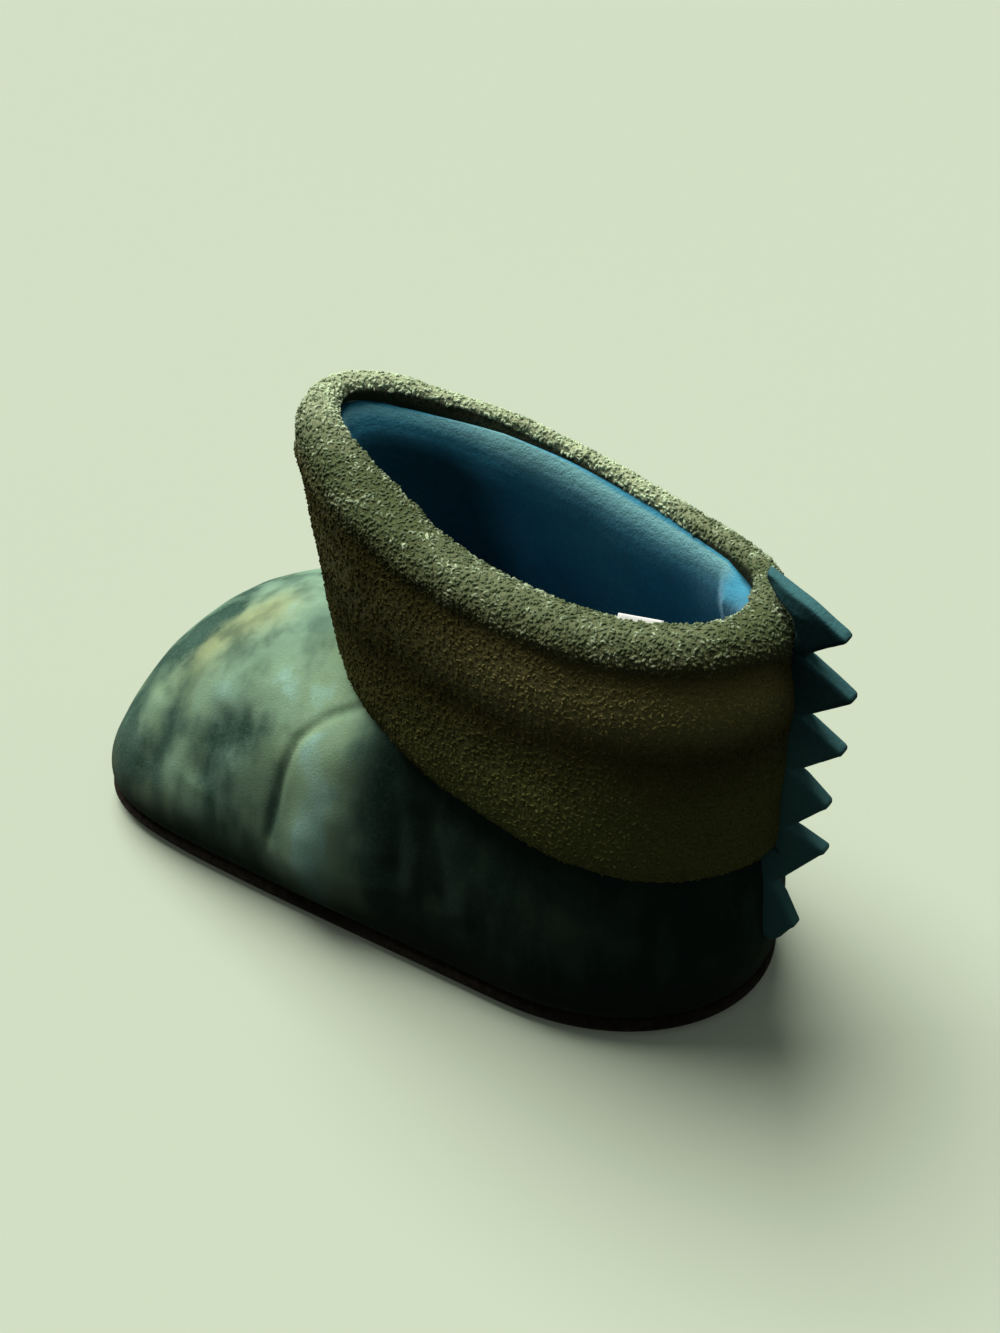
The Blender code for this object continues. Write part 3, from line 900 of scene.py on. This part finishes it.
def scattered(piece, wanted, spacing, seed):
    """Places spread over the wanted faces of a piece, about one to each cell of the spacing, and their normals."""
    mesh = piece.data
    mesh.calc_loop_triangles()
    corners = np.empty(3 * len(mesh.loop_triangles), np.int32)
    mesh.loop_triangles.foreach_get("vertices", corners)
    owner = np.empty(len(mesh.loop_triangles), np.int32)
    mesh.loop_triangles.foreach_get("polygon_index", owner)
    corners = corners.reshape(-1, 3)[wanted[owner]]
    points, normals = points_of(piece), normals_of(piece)
    a, b, c = (points[corners[:, k]] for k in range(3))
    area = np.linalg.norm(np.cross(b - a, c - a), axis=1) / 2
    draw = np.random.default_rng(seed)
    tries = int(TRIES * area.sum() / spacing**2)
    chosen = draw.choice(len(corners), tries, p=area / area.sum())
    u, v = draw.random(tries), draw.random(tries)
    over = u + v > 1
    u[over], v[over] = 1 - u[over], 1 - v[over]
    weights = np.stack([1 - u - v, u, v], axis=1)[:, :, None]
    places = (points[corners[chosen]] * weights).sum(axis=1)
    directions = (normals[corners[chosen]] * weights).sum(axis=1)
    cells = np.floor(places / spacing).astype(np.int64)
    keys = (cells + CELLS // 2) @ np.array([CELLS**2, CELLS, 1])
    first = np.unique(keys, return_index=True)[1]
    return places[first], unit(directions[first]), draw


def make_loops(name, cuff, rim, wanted, loops, material):
    """A joined mesh of terry loops over part of the cuff, each turned and leaned by its own draw."""
    places, up, draw = scattered(cuff, wanted, loops.spacing, loops.seed)
    count = len(places)
    shape, faces = loop_shape()
    side = unit(np.cross(up, draw.normal(size=(count, 3))))
    lean = unit(up + LOOP_LEAN * draw.normal(size=(count, 3)))
    across = unit(np.cross(lean, side))
    along = np.cross(across, lean)
    scale = loops.size * draw.uniform(*LOOP_SCALES, count)[:, None, None]
    x, y, z = (shape[None, :, k, None] for k in range(3))
    reach = along[:, None, :] * x + across[:, None, :] * y + lean[:, None, :] * z * loops.stand
    points = places[:, None, :] + scale * reach
    corners = faces[None, :, :] + (np.arange(count) * len(shape))[:, None, None]
    mesh = bpy.data.meshes.new(name)
    mesh.from_pydata((points.reshape(-1, 3) * MM).tolist(), [], corners.reshape(-1, 4).tolist())
    mesh.shade_smooth()
    piece = bpy.data.objects.new(name, mesh)
    bpy.context.scene.collection.objects.link(piece)
    tone = rim_tone(places) + draw.uniform(*LOOP_TONES, count) + lumps(places, TONE_LUMPS)
    masks = {"tone": tone, **terry_bands(places, rim)}
    write_masks(piece, **{name: np.repeat(values, len(shape)) for name, values in masks.items()})
    dress(piece, material, "cuff")


def make_terry(cuff, rim):
    """Terry loops over the cuff's rim and over the sleeve below it."""
    material = make_terry_loops()
    centres = face_centres(cuff)
    depth = below_rim(centres, rim)
    outward = outwardness(centres, face_normals(cuff)) > 0
    on_rim = (depth < crease_depth(centres) - RIM_SHORT) & (outward | (depth < RIM_INSIDE))
    make_loops("terry_rim_loops", cuff, rim, on_rim, RIM_LOOPS, material)
    make_loops("terry_sleeve_loops", cuff, rim, outward & ~on_rim, SLEEVE_LOOPS, material)


# The lining's padded edge: depth below its top edge, and how far it swells into the boot there
EDGE_DEPTHS = [0.0, 1.0, 2.2, 4.0, 6.5, 10.0, 15.0, 22.0, 32.0, 46.0]
EDGE_SWELLS = [-1.8, 0.0, 1.6, 2.8, 3.4, 3.3, 2.8, 1.9, 0.9, 0.0]
# The edge's lift, and its share less at the front and at the back of the boot
EDGE_LIFT, LIFT_DEPTHS = 2.9, (9, 1)
LINING_FRONT, LINING_BACK = (8, 30), (-53, -60)
FRONT_LOWER, BACK_LOWER, FRONT_THINNER = 1.1, 0.75, 0.3
# The edge's top follows the rim's lip, and the back has a roll below it
TOP_DEPTHS = (5, 0)
LIP_TUCK = 1.8
BACK_SWELL, BACK_WIDTH = 3.6, 26.0
LINING_LUMPS = [Wave(0.4, 13.0, 41)]
LUMP_DEPTHS = (0, 5)
FINE_EDGE = 34
# The lining leaves out faces that are nearly level
LEVEL_FACE = 0.97
# A tuck in the lining at the far front corner, with painted shade in it
TUCK = [(40.0, -15.0, 112.0), (36.0, -15.0, 98.0), (33.0, -14.0, 84.0)]
TUCK_DEPTH, TUCK_WIDTH, TUCK_SHADE = 1.8, 2.0, 1.2
LINING_STAND, LINING_THICKNESS = 0.35, 0.9
# The painted highlight on the lining's edge: its width, what it loses at the front and at the back, the painted shade
# at the back, and the painted shade at its very top
PALE_EDGE = 5.0
PALE_LESS_FRONT, PALE_LESS_BACK, BACK_SHADE = 0.5, 0.8, 0.35
TOP_SHADE, TOP_SHADE_DEPTHS = 2.2, (1.1, 0.6)
# Its painted shade towards the toe and deep in the boot
TOE_SHADE, TOE_SHADE_PART, TOE_SHADE_DEPTHS = 1.3, (2, 22), (3, 13)
DEEP_SHADE, DEEP_SHADE_DEPTHS = 0.5, (16, 36)


def lining_shade(points, depth, at_front, at_back):
    """The lining's painted light, above zero, or painted shade."""
    lit = bell(depth, PALE_EDGE) * (1 - PALE_LESS_FRONT * at_front) * (1 - PALE_LESS_BACK * at_back)
    lit -= BACK_SHADE * at_back + TOP_SHADE * fade(depth, TOP_SHADE_DEPTHS)
    shade = TOE_SHADE * fade(points[:, 0], TOE_SHADE_PART) * fade(depth, TOE_SHADE_DEPTHS)
    return lit - shade - DEEP_SHADE * fade(depth, DEEP_SHADE_DEPTHS)


def make_lining():
    """The fleece lining: the upper's inner face, swelling to a padded edge tucked under the cuff's rim."""
    piece = copy_of("upper", "fleece_lining")
    centres = face_centres(piece)
    normals = face_normals(piece)
    inner = (outwardness(centres, normals) < 0) & (np.abs(normals[:, 2]) < LEVEL_FACE)
    select_faces(piece, ~inner)
    edit(piece, (bpy.ops.mesh.delete, {"type": "FACE"}))
    subdivide(piece, 1)
    top = top_ring(points_of(piece))
    select_faces(piece, below_rim(face_centres(piece), top) < FINE_EDGE)
    edit(
        piece,
        (bpy.ops.mesh.subdivide, {"number_cuts": 2}),
        (bpy.ops.mesh.vertices_smooth, {"factor": 0.5, "repeat": 4}),
    )
    points = points_of(piece)
    normals = normals_of(piece)
    depth = below_rim(points, top)
    at_front = fade(points[:, 0], LINING_FRONT)
    at_back = fade(points[:, 0], LINING_BACK)
    lift = EDGE_LIFT * (1 - FRONT_LOWER * at_front) * (1 - BACK_LOWER * at_back) * fade(depth, LIFT_DEPTHS)
    swell = np.interp(depth, EDGE_DEPTHS, EDGE_SWELLS) * (1 - FRONT_THINNER * at_front)
    at_top = fade(depth, TOP_DEPTHS)
    swell += at_top * np.maximum(lip_swell(points) + LIP_TUCK, 0)
    swell += (1 - at_top) * BACK_SWELL * at_back * bell(depth, BACK_WIDTH)
    swell += lumps(points, LINING_LUMPS) * fade(depth, LUMP_DEPTHS)
    tuck = bell(along_line(points, TUCK)[0], TUCK_WIDTH)
    moved = points + LINING_STAND * normals + into_shaft(points) * (swell - TUCK_DEPTH * tuck)[:, None]
    moved[:, 2] += lift
    move_to(piece, settled(moved))
    # The lining's painted light and shade, with painted shade in the tuck, kept as its fold mask
    shade = lining_shade(points, depth, at_front, at_back) - TUCK_SHADE * tuck
    write_masks(piece, fold=np.clip(shade, -1, 1))
    modify(piece, "SOLIDIFY", thickness=LINING_THICKNESS * MM, offset=-1.0)
    dress(piece, make_fleece(), "insole")
    return piece


FOOTBED_LUMPS = [Wave(0.3, 14.0, 51)]


def make_footbed(fleece):
    """The footbed, of the lining's fleece."""
    piece = copy_of("insole", "fleece_footbed")
    subdivide(piece, 2)
    write_masks(piece, fold=lumps(points_of(piece), FOOTBED_LUMPS))
    dress(piece, fleece, "insole", "insole")


def make_sole():
    """The thin sole with its rounded side."""
    piece = copy_of("outsole", "dark_sole")
    subdivide(piece, 2)
    dress(piece, make_sole_cloth(), "outsole", "outsole")


# How the ridge's upper end is laid over the rim, and which part of it, by height and length
RIDGE_OVER_RIM = (4.5, -2.8, -0.8)
UPPER_END_HEIGHTS, UPPER_END_LENGTHS = (108.5, 112.5), (-84, -76)
# How far its top spike is lifted, and again by its inner end
RIDGE_LIFT = 1.1
TOP_SPIKE, INNER_END_LENGTHS, INNER_END_HEIGHTS = (98, 104), (-89, -80), (106, 111)
# How deep the ridge's strip is sewn into the back, how near its edge, and up to which heights
SEAM_DEPTH, SEAM_EDGE, SEAM_HEIGHTS = 1.8, (3.5, 0.5), (106, 100)
# The part of the ridge that settles with the collar
RIDGE_SETTLES = (-89, -78)
# Faces of its spikes go from painted shade to painted light between the first upward slope and the second, and its
# lower spikes are painted paler, as if lit
SPIKE_SLOPES = (-0.2, 0.8)
LOW_STRENGTH, LOW_HEIGHTS = 0.85, (100, 66)
RIDGE_VOXEL = 0.45


def strip_edge(points):
    """Heights up the ridge, and how far in its strip reaches at each."""
    heights = np.arange(np.floor(points[:, 2].min()) + 1, points[:, 2].max(), 2.0)
    return heights, np.array([points[np.abs(points[:, 2] - h) < 1.5, 0].max() for h in heights])


def make_ridge():
    """The spike ridge: felt, stuffed a little, with soft edges."""
    piece = copy_of("spike_ridge", "felt_spike_ridge")
    modify(piece, "REMESH", mode="VOXEL", voxel_size=RIDGE_VOXEL * MM)
    modify(piece, "SMOOTH", factor=0.5, iterations=3)
    pick(piece)
    bpy.ops.object.shade_smooth()
    points = points_of(piece)
    upper_end = fade(points[:, 2], UPPER_END_HEIGHTS) * fade(points[:, 0], UPPER_END_LENGTHS)
    points += upper_end[:, None] * np.array(RIDGE_OVER_RIM)
    inner_end = ramp(points[:, 0], INNER_END_LENGTHS) * ramp(points[:, 2], INNER_END_HEIGHTS)
    points[:, 2] += RIDGE_LIFT * ramp(points[:, 2], TOP_SPIKE) + RIDGE_LIFT * inner_end
    from_edge = np.interp(points[:, 2], *strip_edge(points)) - points[:, 0]
    points[:, 0] += SEAM_DEPTH * ramp(from_edge, SEAM_EDGE) * ramp(points[:, 2], SEAM_HEIGHTS)
    move_to(piece, points + ramp(points[:, :1], RIDGE_SETTLES) * (settled(points) - points))
    # Painted light by slope: the spikes' upward faces pale, the rest in painted shade, and the lower spikes painted
    # paler
    fold = 2 * fade(normals_of(piece)[:, 2], SPIKE_SLOPES) - 1
    write_masks(piece, fold=fold, low=LOW_STRENGTH * ramp(points[:, 2], LOW_HEIGHTS))
    dress(piece, make_felt(), "spike_ridge", "spike_ridge")


# The label: where it is sewn in, three ways from there, its width, how far it stands out and half its gap
LABEL_ROOT = np.array([-51.0, 17.6, 103.4])
LABEL_ALONG = np.array([0.955, 0.260, -0.03])
LABEL_LEAN = np.array([0.17, -0.65, 0.74])
LABEL_ACROSS = np.array([0.19, -0.71, -0.67])
LABEL_WIDTH, LABEL_REACH, LABEL_GAP = 9.5, 3.7, 0.3
TAPE_THICKNESS = 0.3


def make_label():
    """A blank loop of white tape sewn under the rim, on the near wall inside."""
    bpy.ops.object.select_all(action="DESELECT")
    bpy.ops.mesh.primitive_grid_add(x_subdivisions=10, y_subdivisions=16, size=1.0)
    piece = bpy.context.object
    piece.name = "blank_label"
    piece.data.name = "blank_label"
    grid = points_of(piece) * MM
    width = grid[:, :1] * LABEL_WIDTH
    turn = grid[:, 1:2] * math.pi
    reach, gap = LABEL_REACH * np.cos(turn), LABEL_GAP * np.sin(turn)
    move_to(piece, LABEL_ROOT + width * LABEL_ALONG + reach * LABEL_LEAN + gap * LABEL_ACROSS)
    modify(piece, "SOLIDIFY", thickness=TAPE_THICKNESS * MM, offset=0.0)
    pick(piece)
    bpy.ops.object.shade_smooth()
    dress(piece, make_label_tape(), "insole")


# Scene

FLOOR_SIZE = 8.0
FLOOR_COLOURS = (0.447, 0.513, 0.399), (0.457, 0.523, 0.407)
FLOOR_GLOW = 0.05


def make_floor():
    """A pale floor that throws no light back on the boot."""
    bpy.ops.object.select_all(action="DESELECT")
    bpy.ops.mesh.primitive_plane_add(size=FLOOR_SIZE)
    floor = bpy.context.object
    floor.name = "floor"
    material, tree, shader = new_material("pale floor")
    place = add(tree, "TexCoord").outputs["Object"]
    cloud = add(tree, "TexNoise", Vector=place, Scale=3.0, Detail=2.0).outputs["Fac"]
    colour = mix(tree, cloud, *FLOOR_COLOURS)
    fill(
        tree, shader, Base_Color=colour, Roughness=0.9, Specular_IOR_Level=0.1,
        Emission_Color=colour, Emission_Strength=FLOOR_GLOW,
    )
    floor.data.materials.append(material)
    floor.visible_diffuse = False


SUN_STRENGTH = 4.6
SUN_ANGLE = 46
SUN_COLOUR = (1.0, 0.985, 0.94)
SUN_FROM = (0.62, -0.25, 1.14)
BACKDROP = (0.624, 0.730, 0.552, 1.0)
SKY = (0.92, 1.0, 0.94, 1.0)
# The sky's light: the heights between which it grows, and its least and most strength
SKY_HEIGHTS, SKY_STRENGTHS = (-0.25, 0.8), (0.02, 0.15)


def make_lights():
    """A broad sun from above the toe, and a sky that is brighter to look at than it lights."""
    key = bpy.data.objects.new("key light", bpy.data.lights.new("key light", "SUN"))
    key.data.energy = SUN_STRENGTH
    key.data.angle = math.radians(SUN_ANGLE)
    key.data.color = SUN_COLOUR
    key.rotation_euler = Vector(SUN_FROM).to_track_quat("Z", "Y").to_euler()
    bpy.context.scene.collection.objects.link(key)
    world = bpy.data.worlds.new("studio")
    world.use_nodes = True
    tree = world.node_tree
    tree.nodes.clear()
    seen = add(tree, "Background", Color=BACKDROP, Strength=1.0)
    way = add(tree, "TexCoord").outputs["Generated"]
    height = add(tree, "SeparateXYZ", Vector=way).outputs["Z"]
    strength = spread(tree, height, *SKY_HEIGHTS, *SKY_STRENGTHS)
    light = add(tree, "Background", Color=SKY, Strength=strength)
    ray = add(tree, "LightPath")
    both = add(tree, "MixShader")
    for socket, output in zip(both.inputs, (ray.outputs["Is Camera Ray"], light.outputs[0], seen.outputs[0])):
        tree.links.new(output, socket)
    add(tree, "OutputWorld", Surface=both.outputs[0])
    bpy.context.scene.world = world
    bpy.context.scene.view_settings.view_transform = "Standard"


def make_camera():
    camera = bpy.data.objects.new("camera", bpy.data.cameras.new("camera"))
    camera.data.lens = LENS
    camera.data.sensor_fit = "AUTO"
    camera.data.clip_start = 0.01
    camera.location = Vector(EYE) * MM
    look = Vector(TARGET) - Vector(EYE)
    camera.rotation_euler = look.to_track_quat("-Z", "Y").to_euler()
    bpy.context.scene.collection.objects.link(camera)
    bpy.context.scene.camera = camera


PILE = make_pile_group()
FOLDS = make_fold_group()
make_camera()
make_lights()
make_floor()
make_foot()
terry_cuff, collar_rim = make_cuff()
make_terry(terry_cuff, collar_rim)
fleece_lining = make_lining()
make_footbed(fleece_lining.data.materials[0])
make_sole()
make_ridge()
make_label()
